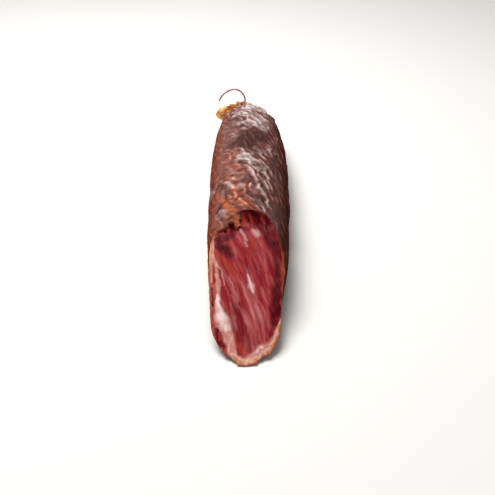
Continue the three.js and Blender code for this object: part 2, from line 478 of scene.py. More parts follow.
X, Y, Z = mm_from_tip(loin)
smooth_where(from_cut(Y, Z) < EDGE_REACH, 4)
smooth_where((Y < TIP_DEPTH) & (Z < TIP_HEIGHT), 10)
X, Y, Z = mm_from_tip(loin)
near_cut = from_cut(Y, Z) < CUT_SKIN
for face in loin.data.polygons:
    face.select = all(near_cut[i] for i in face.vertices)
bpy.ops.object.mode_set(mode="EDIT")
bpy.ops.mesh.select_mode(type="FACE")
bpy.ops.mesh.subdivide(number_cuts=1)
bpy.ops.object.mode_set(mode="OBJECT")
print("finer mesh:", len(loin.data.polygons), "faces")

# %% Where each point lies
X, Y, Z = mm_from_tip(loin)
cut_distance = from_cut(Y, Z)
on_cut = cut_distance < CUT_SKIN
up_face = Y * math.cos(SLOPE) + Z * math.sin(SLOPE)
round_it = round_the_loin(X, Y, Z)
print("points:", len(X), "of them on the cut:", int(on_cut.sum()))

# %% [markdown]
# The edge between meat and casing carries a thin rim, so each point needs its distance from that edge:
# positive on the casing and negative on the meat. On the casing it is the distance from the cut. On the
# cut it is the distance to the nearest point of the casing, measured in blocks to spare memory.

# %% Distance from the rim
RIM_BAND = 4
BLOCKS = 60
casing_near = np.c_[X, Y, Z][(~on_cut) & (cut_distance < RIM_BAND)].astype(np.float32)
rim = cut_distance - CUT_SKIN
for block in np.array_split(np.flatnonzero(on_cut), BLOCKS):
    here = np.c_[X, Y, Z][block].astype(np.float32)
    apart = ((here[:, None, :] - casing_near[None, :, :]) ** 2).sum(2)
    rim[block] = -np.sqrt(apart.min(1))
print("deepest in the meat:", round(-rim.min(), 1), "mm")

# %% [markdown]
# The casing was torn rather than cut at the top left, where a flap of it hangs over the meat. Its edge is
# a line on the cut face, made ragged by two small waves, and what lies above it counts as casing.

# %% The torn flap
FLAP_EDGE = (
    (-40, 88), (-27, 92), (-24.1, 94.5), (-22, 98.5), (-18.4, 101), (-14.8, 102.5), (-12.6, 106.5),
    (-10.5, 107), (-8.8, 104), (-7.6, 101.5), (-5.8, 103), (-5.2, 111), (-4.6, 119), (-3, 130),
)
torn_x = X + 0.5 * np.sin(up_face * 1.1 + 0.6 * X) + 0.3 * np.sin(up_face * 2.7 - X)
flap = up_face - np.interp(torn_x, *np.array(FLAP_EDGE, float).T)
rim = np.where(on_cut, np.maximum(rim, 0.8 * flap), rim)
on_meat = on_cut & (flap < 0)
on_flap = on_cut & (flap >= 0)
print("points on the flap:", int(on_flap.sum()))


# %% [markdown]
# Noise on a lattice gives the wrinkles and the marbling. It is written here and not taken from a texture
# so that the same numbers can move the points and steer the colours. What has its own place on this loin
# is a stroke, a line with a width at each of its points.

# %% Lattice noise and painted strokes
def lattice(u, v, seed):
    """Smooth noise between -1 and 1 with cells of size one."""
    table = np.random.default_rng(seed).uniform(-1, 1, (256, 256))
    iu, iv = np.floor(u).astype(int), np.floor(v).astype(int)
    fu, fv = u - iu, v - iv
    fu, fv = fu * fu * (3 - 2 * fu), fv * fv * (3 - 2 * fv)
    low = table[iu % 256, iv % 256] * (1 - fu) + table[(iu + 1) % 256, iv % 256] * fu
    high = table[iu % 256, (iv + 1) % 256] * (1 - fu) + table[(iu + 1) % 256, (iv + 1) % 256] * fu
    return low * (1 - fv) + high * fv


def stroke(u, v, line, soft=0.35):
    """1 inside a line of (u, v, half width) points and 0 outside, with soft edges."""
    best = np.zeros(len(u))
    for (u0, v0, w0), (u1, v1, w1) in zip(line, line[1:]):
        du, dv = u1 - u0, v1 - v0
        part = np.clip(((u - u0) * du + (v - v0) * dv) / (du * du + dv * dv), 0, 1)
        far = np.hypot(u - u0 - part * du, v - v0 - part * dv)
        width = w0 + (w1 - w0) * part
        best = np.maximum(best, 1 - ramp(far, width * (1 - soft), width * (1 + soft)))
    return best


def strokes(u, v, lines, soft):
    """The strongest of several strokes at each point."""
    return np.maximum.reduce([stroke(u, v, line, soft) for line in lines])


sample = lattice(X / 10, Y / 10, 1)
print("noise runs from", round(sample.min(), 2), "to", round(sample.max(), 2))

# %% [markdown]
# As the loin dried, its casing shrank into ridges that slant across the top and run steeper down the
# flanks. They could be sculpted one by one. Here two coordinates run across and along them, swaying a
# little, and every wrinkle, patch and fine crease below is drawn in these.

# %% Across and along the wrinkles
WRINKLE_SLANT = math.radians(25)
SHOULDER = 20
sideways = 2.0 * lattice(round_it / 17, Y / 24, 11)
sway = 4.0 * lattice(round_it / 15, Y / 30, 12)
past_shoulder = np.maximum(np.abs(round_it) - SHOULDER, 0)
across = round_it * math.cos(WRINKLE_SLANT) + Y * math.sin(WRINKLE_SLANT) + sideways
across += 0.006 * np.sign(round_it) * past_shoulder**2
along = round_it * math.sin(WRINKLE_SLANT) - Y * math.cos(WRINKLE_SLANT) + sway
down_flank = ramp(np.abs(round_it), 22, 42)
patch_edge = 0.3 * lattice(across / 3.2, along / 5.5, 50)


def spots(places):
    """Ragged patches on the casing, each (x, y, z, reach round, reach along, strength)."""
    total = np.zeros(len(X))
    for x, y, z, reach_round, reach_along, strong in places:
        middle = round_the_loin(np.array([x], float), np.array([y], float), np.array([z], float))[0]
        far = np.hypot((round_it - middle) / reach_round, (Y - y) / reach_along) + patch_edge
        total = np.maximum(total, strong * (1 - ramp(far, 0.35, 1.25)))
    return total


print("points on the flanks:", int((down_flank > 0.5).sum()))

# %% [markdown]
# The main ridges are a wave across the slant whose phase is broken up, so that they meet, fork and end as
# real wrinkles do. The minor ones are the places where a long, narrow noise crosses zero, which makes
# narrow crests with broad hollows between them.

# %% Wrinkles
WRINKLE_PITCH = 6.4
broken = 2.9 * lattice(across / 6.5, along / 7.5, 1) + 1.1 * lattice(across / 3.2, along / 3.8, 7)
broken = broken * (1 - down_flank) + 1.5 * down_flank * lattice(across / 8, along / 26, 44)
phase = 2 * math.pi * (across + broken) / WRINKLE_PITCH
short = ramp(lattice(across / 4.6, along / 6.2, 6), -0.45, 0.55)
main = (0.5 + 0.5 * np.cos(phase)) ** 1.6 * (0.2 + 0.8 * short)
minor = 1 - ramp(np.abs(lattice(across / 2.8, along / 4.8, 2)), 0, 0.75)
lumps = lattice(round_it / 15, Y / 21, 3)
print("points on a main ridge:", int((main > 0.5).sum()))

# %% Where the wrinkles fade
SMOOTH_LEFT = (
    (-19, 202, 52, 19, 86, 0.95), (-4, 106, 60, 22, 9, 0.45), (-23, 110, 50, 13, 26, 0.85),
    (-8, 149, 60, 10, 16, 0.5), (-12, 124, 57, 6, 6, 0.75),
)
smooth_left = spots(SMOOTH_LEFT)
folded_side = ramp(-round_it, 27, 36) * ramp(Y, 84, 100)
flat_skin = np.maximum(smooth_left, folded_side)
fade = (1 - ramp(np.abs(round_it), 70, 92)) * ramp(Z, 0.4, 5)
strength = fade * (0.65 + 0.5 * lattice(round_it / 13, Y / 16, 4)) * (1 - 0.3 * down_flank)
strength *= (1 - smooth_left) * (1 - 0.8 * folded_side) * (1 - 0.9 * ramp(Y, 318, 331))
print("wrinkles at most", round(strength.max(), 2), "strong")

# %% [markdown]
# Towards the tie the casing had to be gathered: it lies in pleats that run to the neck, and it is puffed
# up into knobs between them. The pleats are a wave round the loin and the knobs are spots of relief.

# %% Relief of the casing
# a ridge goes from 0 to 1: what is below this level sinks under the smooth body and the rest rises from it
BODY_LEVEL = 0.42
# heights in mm
WRINKLE_HEIGHT = 1.8
MINOR_HEIGHT = 0.5
MINOR_MORE_AT_TIE = 0.6
LUMP_HEIGHT = 0.9
PLEATS = 11
PLEAT_HEIGHT = 0.8
KNOBS = (
    (17, 318, 42, 5, 7, 2.2), (9, 322, 44, 5, 5, 0.6), (-1, 323, 45, 4, 5, 2.4), (24, 310, 37, 5, 8, 1.6),
    (-12, 322, 43, 4, 6, 1.2), (3, 308, 50, 5, 6, 1.3), (14, 303, 50, 5, 7, 1.2),
)
pleats = np.cos(round_it / ROUND_RADIUS * PLEATS + 1.5 * lattice(round_it / 9, Y / 14, 5))
pleats *= ramp(Y, 292, 322) * (1 - 0.6 * ramp(Y, 322, 332))
far_end = ramp(Y, 284, 306)
minor_height = MINOR_HEIGHT + MINOR_MORE_AT_TIE * far_end
casing_relief = strength * (WRINKLE_HEIGHT * (main - BODY_LEVEL) + minor_height * (minor - BODY_LEVEL))
casing_relief += LUMP_HEIGHT * fade * lumps + PLEAT_HEIGHT * pleats + spots(KNOBS)
print("relief of the casing up to", round(casing_relief.max(), 1), "mm")

# %% Crests, from 0 in a hollow to 1 on a ridge, for the colours
crest = 0.06 + 0.85 * main + (0.25 + 0.3 * far_end) * (minor - 0.3 * far_end) + 0.1 * lumps
crest = np.clip(crest, 0, 1)
crest += 0.75 * ramp(Y, 319, 329) * (0.4 - crest)
crest = crest * (1 - 0.7 * flat_skin) + 0.3 * flat_skin - 0.1 * folded_side
# painted shade: crests turn darker towards the right flank, away from the softbox
crest *= 1 - 0.3 * ramp(round_it, 8, 30)
crest *= 1 - 0.4 * ramp(-round_it, 34, 50) * (1 - ramp(Y, 100, 150))
print("middle crest value:", round(float(np.median(crest)), 2))

# %% [markdown]
# On and behind the flap the casing was pulled: a raised orange strip runs up and away from the tear, with
# a notch beside it, a slit behind it, and small folds in the flap. Each has its place on this loin, so
# they are strokes, with noise added to their coordinates to make them ragged.

# %% Strip, notch, slit and folds at the flap
STRIP = (
    (-24.5, 147, 0.8), (-22.5, 140, 1.2), (-18.8, 132, 1.7), (-14.8, 121.5, 2.1), (-11, 113.5, 2.1),
    (-8.6, 108, 1.9), (-6.9, 104, 1.5),
)
NOTCH = ((-18.8, 119, 1.3), (-20.8, 115.5, 1.8), (-23.6, 111, 1.0))
NOTCH_DEPTH = 1.2
SLIT = ((-11, 105.5, 0.8), (-7, 104, 1.3), (-3, 104.5, 0.7))
SLIT_DEPTH = 1.6
strip = (Z > 34) * stroke(X + 0.9 * lattice(X / 2, up_face / 2, 14), up_face, STRIP, 0.8)
strip *= 0.75 + 0.4 * lattice(X / 3, up_face / 5, 49)
notch = (Z > 36) * stroke(X, Y + 0.8 * lattice(X / 2, Y / 2, 15), NOTCH, 0.7)
slit = (Z > 40) * (~on_cut) * stroke(X, Y, SLIT, 0.6)
folds = lattice((0.9 * X + 0.45 * up_face) / 1.7, (0.9 * up_face - 0.45 * X) / 6, 8)
# the notch is painted darker as shade in its crease
crest = np.where(on_flap, 0.42 + 0.24 * folds, crest) - 0.4 * notch
crest = np.clip(crest * (1 - 0.3 * strip) + 0.12 * strip, 0, 1)
flap_relief = 0.4 * folds + 0.8 * lattice(X / 3, up_face / 4, 9) + 0.5 * strip
casing_relief = np.where(on_flap, flap_relief, casing_relief) - SLIT_DEPTH * slit - NOTCH_DEPTH * notch
print("points on the strip:", int((strip > 0.4).sum()))

# %% [markdown]
# A cut through the loin shows where its fat and its separate muscles lie. Noise alone would give marbling
# of the right size in the wrong places, so the seams that can be told apart are strokes, and noise only
# makes their edges ragged. Each point is x, the distance up the face and half the width there.

# %% Strokes of fat
FAT_SEAM = (
    (-25, 92, 0.7), (-24.6, 85, 0.8), (-24.2, 80, 1.0), (-23.2, 75, 1.4), (-22.2, 71, 1.1), (-21.5, 66, 1.3),
    (-20.5, 61, 1.4), (-20.3, 52, 1.4), (-20.3, 48, 1.6), (-20.3, 44, 1.9), (-19.5, 39, 2.6),
    (-18.5, 35, 3.8), (-17, 31, 4.8), (-16, 26, 5.0), (-14, 23, 4.3), (-13, 19, 3.6), (-12, 15, 3.2),
    (-11, 11, 2.9), (-9, 7, 2.5), (-8, 4, 2.5),
)
FAT_BRANCH = (
    (-24, 77, 0.6), (-22, 74.5, 0.6), (-19.6, 71, 0.6), (-17.9, 67, 0.6), (-16.6, 62, 0.5), (-16, 57, 0.4),
)
FAT_RIM = (
    (-9, 8, 2.2), (-8, 4, 2.9), (-2, 3, 3.6), (3, 3, 3.6), (7, 6, 3.6), (10, 10, 3.6), (14, 11, 3.6),
    (17, 15, 2.9), (19, 18, 2.9), (21, 25, 1.3), (22.2, 30, 0.8), (23, 35, 0.3),
)
WHITE_FAT = ((-21, 50, 1.0), (-18, 34, 5.0), (-14, 27, 3.5))
# a painted highlight on the moist meat: a white streak with soft edges
PAINTED_HIGHLIGHT = ((0.0, 66, 0.4), (1.6, 60, 1.2), (2.5, 57, 2.3), (4.0, 52, 0.7))
SOFT_STREAKS = (
    ((-5, 100.5, 0.8), (-2.8, 95.5, 1.3), (-0.6, 92, 0.9)),
    ((-1.6, 90.5, 0.9), (0.2, 87.5, 0.8)),
    ((4.4, 100, 1.2), (6, 98.5, 2.2), (7.6, 96.2, 1.6)),
)
PALE_STREAKS = (
    ((-2.5, 73, 0.6), (0.5, 65, 1.4), (4.2, 52, 1.8), (7, 45, 0.9)),
    ((1.7, 88, 0.7), (5.0, 79, 1.0), (8.5, 70, 0.8)),
    ((8, 92, 0.6), (11, 84, 0.9), (13, 76, 0.5)),
    ((9.5, 56, 0.5), (11.5, 50, 1.1), (14.0, 43, 0.8)),
    ((-5.6, 42, 0.5), (-1.0, 31.5, 1.2), (2.2, 22, 1.0), (3.4, 11, 0.8)),
    ((0.5, 47, 0.6), (3.0, 38.5, 1.1), (5, 33, 0.6)),
    ((5.6, 43.5, 0.8), (10.0, 29.5, 1.2), (11.4, 15, 0.7)),
    ((8.5, 45, 0.5), (12.5, 34, 0.8), (15, 24, 0.6)),
    ((-13, 64, 0.5), (-9, 53, 0.9), (-6, 45, 0.6)),
    ((-12.5, 44, 0.7), (-9, 34, 0.9), (-7, 25, 0.6)),
    ((-4.5, 60, 0.6), (-1, 50, 0.9), (2, 41, 0.5)),
    ((18.5, 77, 0.5), (20.5, 71, 1.2), (22, 66, 0.7)),
    ((13, 66, 0.5), (14.6, 58, 0.8)),
    ((-11.2, 50, 0.5), (-9.4, 45, 1.0), (-8, 41, 0.5)),
)
print("soft streaks:", len(SOFT_STREAKS), "and pale ones:", len(PALE_STREAKS))

# %% Strokes of red and dark muscle, of painted shade under the lip, and of the pockets between muscles
RED_STROKES = (
    ((-24, 86, 0.8), (-20, 80, 1.4), (-15.5, 74.5, 1.7), (-11.5, 69.5, 2.2), (-8.8, 64, 1.4)),
    ((-6, 113, 1.5), (-4, 109, 1.5), (-2, 105.5, 1.2)),
    ((1.5, 112, 0.8), (3.2, 107.5, 0.9)),
    ((10.2, 110, 0.5), (12.6, 107, 0.6)),
    ((-5.5, 14, 1.6), (-3, 10, 1.8)),
    ((19.5, 26, 1.6), (20.5, 22, 1.6)),
    ((-5, 73, 1.0), (-2.6, 67, 0.9)),
    ((2, 93, 0.8), (5, 86, 1.1)),
)
# the first three strokes are dark muscle; the rest lie at the top under the lip, darker from drying and from
# painted shade
DARK_MUSCLE_AND_LIP_SHADE = (
    ((-23, 91, 3.5), (-18, 94, 4.0), (-12, 97, 3.5)),
    ((-22, 88, 3.0), (-17, 86, 3.5), (-12, 80, 2.5)),
    ((14, 106, 4.0), (19.5, 90, 4.5), (22, 72, 3.8), (21.5, 54, 4.2), (19, 39, 3.8), (19, 26, 3.0)),
    ((-3, 116, 2.0), (4, 114, 3.0), (13, 109, 4.0)),
    ((8.5, 107, 2.8), (12.5, 101, 3.4), (15, 95, 3.2), (17, 88, 2.6)),
    ((0, 110, 2.6), (6, 106, 2.6), (9, 100, 2.0)),
    ((-4.5, 103, 1.3), (0.5, 101, 1.6), (2.5, 104, 1.4)),
)
PURPLE_MUSCLE = ((-9, 42, 2.5), (-5, 28, 4.0), (0, 14, 4.0))
# the pockets are sunk, and the dark mask paints them with shade
POCKETS = (
    ((-25, 54, 1.0), (-25, 48, 1.4), (-24, 42, 0.8)),
    ((-11.6, 105, 1.6), (-9.6, 101.5, 2.0)),
    ((-17, 101, 0.8), (-15.5, 100, 1.0)),
)
RED_POCKET = ((-21, 25, 0.8), (-20, 21, 2.0), (-18, 17, 2.2), (-17, 12, 1.4))
RED_HEART = ((-20.2, 22.5, 0.5), (-18.8, 19, 1.0))
RECESS = ((-9, 105, 3.0), (4, 110, 6.5), (14, 106, 4.0))
print("red strokes:", len(RED_STROKES), "dark ones:", len(DARK_MUSCLE_AND_LIP_SHADE), "pockets:", len(POCKETS))

# %% [markdown]
# The muscle fibres run down the cut face at a slant and straighten towards its lower end, and marbling
# follows them. Two coordinates across and along the fibres carry every pattern that is stretched with them.

# %% Across and along the fibres
FIBRE_SLANT = math.radians(21)
STRAIGHTENS_BELOW = 45.0
bend = 2.2 * lattice(X / 14, up_face / 26, 21)
low_part = np.clip(up_face / STRAIGHTENS_BELOW, 0, 1)
fibre_run = STRAIGHTENS_BELOW * (low_part**3 - low_part**4 / 2) + np.maximum(up_face - STRAIGHTENS_BELOW, 0)
fibre_across = X * math.cos(FIBRE_SLANT) + fibre_run * math.sin(FIBRE_SLANT) + bend
fibre_along = X * math.sin(FIBRE_SLANT) - up_face * math.cos(FIBRE_SLANT)
ragged_x = X + 0.7 * lattice(X / 2.6, up_face / 3.4, 22)
ragged_up = up_face + 0.9 * lattice(X / 2.9, up_face / 3.1, 23)
threads = 0.5 + 0.5 * lattice(fibre_across / 0.8, fibre_along / 10, 26)
print("the cut face is", round(up_face[on_cut].max()), "mm long")

# %% Fat, pale marbling and a painted highlight
streaming_up = ragged_up + 2.4 * lattice(fibre_across / 1.7, fibre_along / 22, 27)
seam = stroke(ragged_x, ragged_up, FAT_SEAM, 0.45)
branch = stroke(ragged_x, ragged_up, FAT_BRANCH, 0.6)
fat = np.maximum.reduce([seam, branch, stroke(ragged_x, streaming_up, FAT_RIM, 0.45)])
low_rim = stroke(X, up_face, FAT_RIM, 0.6)
fat_tone = 0.42 * (1 - low_rim) + low_rim * (0.05 + 0.85 * ramp(-rim, 1.8, 5.5))
fat_tone += 0.5 * stroke(X, up_face, WHITE_FAT, 0.9)
highlight_and_pale_streak = stroke(X, up_face, PAINTED_HIGHLIGHT, 1.3) ** 2.4 * (0.7 + 0.45 * threads)
soft_streak = strokes(ragged_x, up_face, SOFT_STREAKS, 1.1) ** 1.6 * (0.55 + 0.6 * threads)
highlight_and_pale_streak = np.maximum(highlight_and_pale_streak, 0.5 * soft_streak)
pale = strokes(ragged_x, up_face, PALE_STREAKS, 1.1) ** 1.4 * (0.35 + 0.65 * threads)
pale += 0.45 * ramp(lattice(fibre_across / 3.4, fibre_along / 16, 29), 0.1, 0.8)
pale *= (1 - 0.9 * ramp(X, 12, 18)) * (1 - 0.6 * ramp(up_face, 62, 80)) * (1 - 0.8 * ramp(up_face, 92, 102))
print("fat on", round(100 * (fat[on_meat] > 0.5).mean()), "% of the cut face")

# %% Red and dark muscle, painted shade under the lip, and pockets painted dark as shade
red_seam = strokes(ragged_x, ragged_up, RED_STROKES, 1.1)
dark = strokes(ragged_x, ragged_up, DARK_MUSCLE_AND_LIP_SHADE, 0.6)
dark = np.maximum(dark, 0.4 * stroke(ragged_x, ragged_up, PURPLE_MUSCLE, 0.9))
dark *= 0.95 + 0.3 * lattice(X / 3.0, up_face / 3.6, 45)
pocket = strokes(ragged_x, ragged_up, POCKETS, 0.6)
red_pocket = stroke(ragged_x, ragged_up, RED_POCKET, 0.7)
red_heart = stroke(ragged_x, ragged_up, RED_HEART, 0.9)
recess = stroke(X, up_face, RECESS, 0.8)
print("dark muscle on", round(100 * (dark[on_meat] > 0.5).mean()), "% of the cut face")

# %% [markdown]
# The cut face is nearly flat. Its fat is firmer than the lean meat and stands a little proud, the fibres
# leave fine grooves, small pockets have opened between the muscles, and the meat has drawn back under the
# upper edge of the casing, which stands up as a thin lip. The lowest corners have curled up in drying.

# %% Relief of the cut face
# heights and depths in mm
FIBRE_HEIGHT = 0.22
FAT_HEIGHT = 0.3
SWELL_HEIGHT = 0.5
POCKET_DEPTH = 1.5
RED_POCKET_DEPTH = 1.2
RECESS_DEPTH = 1.6
UNDERCUT_DEPTH = 1.6
cut_relief = FIBRE_HEIGHT * (1 - fat) * lattice(fibre_across / 0.9, fibre_along / 14, 24) + FAT_HEIGHT * fat
cut_relief += SWELL_HEIGHT * lattice(X / 9, up_face / 16, 25)
cut_relief -= POCKET_DEPTH * pocket + RED_POCKET_DEPTH * red_pocket + RECESS_DEPTH * recess
cut_relief *= ramp(-rim, 0.0, 1.5)
undercut = UNDERCUT_DEPTH * np.exp(-((flap / 2.6) ** 2)) * ramp(X, -27, -18) * (flap < 0)
cut_relief = (cut_relief - undercut) * ramp(Z, 0, 4)
print("relief of the cut down to", round(cut_relief[on_meat].min(), 1), "mm")

# %% Lip of the casing, and the curled lower tip
LIP_HEIGHT = 0.45
FLAP_LIP_HEIGHT = 0.35
TIP_MIDDLE = -2.6
TIP_STICKS_OUT = 1.5
HIGHEST_CURL = 2.0
lip = LIP_HEIGHT * np.exp(-(((rim - 0.8) / 1.2) ** 2)) * (0.6 + lattice(round_it / 5, Y / 6, 39))
lip = lip * ramp(Z, 2, 8) + FLAP_LIP_HEIGHT * on_flap * ramp(rim, 0, 1.5)
relief = np.where(on_meat, cut_relief, 0.8 * casing_relief * ramp(rim, -0.2, 2.5) + lip)
curl_up = np.minimum(0.011 * (X - TIP_MIDDLE) ** 2, HIGHEST_CURL)
curl_up *= (1 - ramp(Y, 4, 22)) * (1 - ramp(Z, 0.5, 4))
stick_out = TIP_STICKS_OUT * np.exp(-(((X - TIP_MIDDLE) / 8) ** 2)) * (1 - ramp(Y, 2, 14))
print("relief from", round(relief.min(), 2), "to", round(relief.max(), 2), "mm")

# %% Move the points
normals = np.empty(len(X) * 3, np.float32)
loin.data.vertices.foreach_get("normal", normals)
shaped = points_of(loin) + normals.reshape(-1, 3) * relief[:, None] * MM
shaped[:, 2] += curl_up * MM
shaped[:, 1] -= stick_out * MM
shape_points(loin, shaped)
bpy.ops.object.shade_smooth()
print("the loin is", np.ptp(mm_from_tip(loin), axis=1).round(1), "mm")

# %% [markdown]
# The colours of the casing follow its relief and a few marks seen on this loin: pale bloom on the crests
# and in some patches, and an amber area where the casing lies thin over fat. Patches of painted shade darken
# the hollows. An image of them would fix their size, so they are spots in mm whose edges are made ragged by
# the wrinkles.

# %% Spots on the casing
BLOOM = (
    (-7, 281, 56, 10, 12, 0.75), (2, 275, 58, 10, 11, 0.8), (10, 266, 60, 10, 12, 0.8),
    (-2, 251, 59, 8, 10, 0.7), (13, 244, 60, 10, 14, 0.6), (-1, 181, 61, 9, 9, 1.25),
    (5, 162, 60, 9, 15, 0.35), (1, 176, 61, 6, 5, 0.9), (13, 172, 58, 8, 16, 0.34), (8, 138, 60, 9, 16, 0.3),
    (18, 130, 56, 8, 16, 0.2), (19, 192, 55, 6, 9, 0.2), (-6, 134, 60, 5, 7, 0.45),
    (-29, 149, 42, 8, 14, 1.0), (-30, 158, 36, 7, 12, 0.5), (-18.5, 106, 50, 8, 8, 0.52),
    (-21, 132, 52, 7, 13, 0.42), (2, 300, 52, 12, 16, 0.8), (14, 300, 50, 10, 16, 0.6),
    (9, 318, 45, 15, 8, 1.1), (-8, 308, 48, 8, 12, 0.4), (-20, 240, 50, 12, 40, 0.3),
    (10, 112, 59, 10, 10, 0.46), (16, 155, 57, 7, 12, 0.2),
)
AMBER = (
    (-15, 184, 57, 10, 18, 0.56), (-10, 157, 59, 10, 18, 0.85), (-7, 131, 60, 11, 14, 0.8),
    (-4, 107, 59, 14, 10, 1.0), (-21, 176, 50, 7, 16, 0.5), (-16, 120, 56, 10, 14, 0.8),
    (-26, 200, 46, 6, 60, 0.35), (-8, 93, 55, 10, 8, 1.0), (-26, 106, 44, 8, 14, 1.0),
    (-24, 290, 44, 7, 22, 0.6), (-15, 321, 40, 7, 9, 0.9),
)
# painted shade: patches on the top that are darkened, most of all in their hollows
SHADE = (
    (-1, 205, 60, 11, 12, 1.0), (-9, 209, 59, 9, 9, 0.8), (8, 222, 59, 13, 14, 0.95),
    (-1, 217, 59, 11, 12, 0.95), (17, 213, 56, 7, 9, 0.6), (24, 180, 52, 7, 20, 0.5),
    (21, 235, 53, 6, 10, 0.4),
)
dark_spots = spots(SHADE)
print("spots:", len(BLOOM), "pale,", len(AMBER), "amber,", len(SHADE), "dark")

# %% Thin amber casing on the left flank
drift = 4.0 * lattice(Y / 34, round_it / 60, 46) + 3.0 * lattice(Y / 8, round_it / 9, 52)
thin = (1 - ramp(round_it + 0.4 * drift, -30, -22)) * ramp(round_it + 1.6 * drift, -62, -42) * ramp(Z, 2, 12)
thin *= 0.75 + 0.35 * lattice(round_it / 9, Y / 22, 47)
left_amber = 0.55 * ramp(lattice(round_it / 16, Y / 22, 35), -0.1, 0.5) * ramp(-round_it, 40, 56)
amber = np.maximum(spots(AMBER), left_amber) * (0.85 + 0.4 * lattice(round_it / 8, Y / 10, 32))
amber = np.clip(np.maximum(amber, thin), 0, 1)
amber = np.where(on_flap, 0.7 + 0.4 * strip, amber)
# crests are also lowered in the dark spots, which deepens the painted shade there
crest = crest * (1 - 0.6 * thin) * (1 - 0.35 * dark_spots) + 0.13 * thin
print("amber on", round(100 * (amber > 0.5).mean()), "% of the points")

# %% Pale bloom with a painted highlight along the left fold, and mould on the flap
MOULD = ((-22.5, 114, 2.6), (-18, 112.5, 3.4), (-16, 112, 1.8))
film = 0.29 * (1 - ramp(np.abs(round_it + 2), 14, 28)) * ramp(Y, 100, 135)
bloom_and_fold_highlight = np.maximum(spots(BLOOM), film) * (0.8 + 0.5 * lattice(across / 5, along / 9, 31))
bloom_and_fold_highlight = np.clip(bloom_and_fold_highlight, 0, 1) * (1 - 0.95 * dark_spots) * (1 - 0.6 * thin)
# a painted highlight along the fold where the top turns down into the left flank, laid into the bloom
fold_highlight = np.exp(-(((round_it + 24.5 + 0.5 * drift) / 2.2) ** 2)) * ramp(Y, 125, 150)
bloom_and_fold_highlight = np.maximum(bloom_and_fold_highlight, 0.3 * fold_highlight * (0.6 + 0.6 * lumps))
mould = 0.42 * stroke(ragged_x, ragged_up, MOULD, 0.6)
bloom_and_fold_highlight = np.where(on_flap, mould * (1 - strip), bloom_and_fold_highlight * (1 - 0.8 * strip))
print("bloom on", round(100 * (bloom_and_fold_highlight > 0.3).mean()), "% of the points")

# %% Painted shade: darker hollows, the right flank, the slit and the notch
# painted shade down the right flank, the side turned away from the softbox
flank = ramp(round_it, 18, 40)
shade = np.maximum(dark_spots, (0.75 + 0.25 * lattice(round_it / 6, Y / 20, 40)) * flank)
# the slit is painted as shade in its crease too
shade = np.clip(np.maximum(shade, slit), 0, 1)
shade = np.where(on_flap, 0.25 * (1 - strip), np.maximum(shade, notch))
print("shade on", round(100 * (shade > 0.5).mean()), "% of the points")

# %% [markdown]
# Where the knife passed, the edge of the casing shows its thickness as a light line that comes and goes:
# palest at the top left, tan where it has dried on the fat, and almost gone along the top.

# %% Edge between casing and meat
PALE_EDGE = ((-27.4, 94, 0.8), (-26.8, 86, 1.2), (-26.2, 78, 1.4), (-25.6, 68, 0.9), (-25.2, 60, 0.5))
TAN_EDGES = (
    ((-27.5, 76, 2.0), (-27.2, 70, 2.2), (-27, 58, 1.2), (-26.4, 42, 1.3), (-24.5, 30, 1.2)),
    ((24.8, 84, 0.5), (25.8, 76, 1.4), (26.8, 66, 2.4), (27, 56, 2.0), (25.8, 42, 1.0)),
    ((25, 36, 0.8), (22.5, 22, 1.0), (16, 9, 1.2), (6, 1.5, 1.4), (-4, 0, 1.4), (-12, 4, 1.2)),
)
right_light = 0.08 + 0.92 * (1 - ramp(up_face, 66, 92))
left_light = 1 - 0.5 * ramp(up_face, 92, 97)
rim_light = np.where(X > -6, right_light, left_light) * (0.75 + 0.4 * lattice(up_face / 5, X / 5, 33))
ragged_rim = rim + 0.9 * lattice(round_it / 2.4, Y / 3, 36) + 0.5 * lattice(round_it / 6, Y / 8, 38)
near_rim = 1 - ramp(rim, 0.8, 2.6)
pale_edge = near_rim * stroke(X, up_face, PALE_EDGE, 0.8)
pale_edge *= 0.8 + 0.4 * lattice(X / 1.5, up_face / 3, 48)
tan_edge = near_rim * strokes(X + 0.6 * lattice(X / 7, up_face / 7, 37), up_face, TAN_EDGES, 0.9)
tan_edge *= 0.8 + 0.4 * lattice(up_face / 4, X / 4, 34)
print("points near the edge:", int((near_rim > 0.5).sum()))

# %% [markdown]
# Both materials read these measures from the mesh. An attribute keeps one value at each point, so what a
# point is, crest or hollow, fat or lean, stays on it wherever the piece goes.

# %% Attributes of the loin
MASKS = {
    "crest": crest,
    "bloom_and_fold_highlight": bloom_and_fold_highlight * (1 - 0.5 * flank),
    "amber": amber,
    "shade": shade,
    "strip": strip,
    "flank": np.maximum(flank, ramp(-round_it, 24, 40)),
    "smooth": np.maximum(flat_skin, thin),
    "rim": ragged_rim,
    "rim_light": np.clip(rim_light, 0, 1),
    "pale_edge": pale_edge,
    "tan_edge": tan_edge,
    "fat": fat * (1 - pocket) * (1 - red_pocket),
    "fat_tone": fat_tone,
    "highlight_and_pale_streak": highlight_and_pale_streak,
    "pale": pale,
    "red_seam": np.maximum(red_seam, red_heart),
    "dark": np.maximum.reduce([dark, pocket, 0.85 * red_pocket * (1 - red_heart)]),
}
for name, values in MASKS.items():
    layer = loin.data.attributes.new(name, "FLOAT", "POINT")
    layer.data.foreach_set("value", values.astype(np.float32))
for name, parts in {"fibre": (fibre_across, fibre_along), "wrinkle": (across, along)}.items():
    layer = loin.data.attributes.new(name, "FLOAT_VECTOR", "POINT")
    layer.data.foreach_set("vector", np.c_[parts[0], parts[1], np.zeros(len(X))].astype(np.float32).ravel())
print("attributes:", len(MASKS) + 2)

# %% [markdown]
# Each material is one surface with all of its variation in the colour, roughness and bump that feed it.
# Its nodes could be placed by hand in the editor. One function adds any node here, so that a material
# reads from top to bottom like a recipe: patterns, parts, layers of colour, surface.

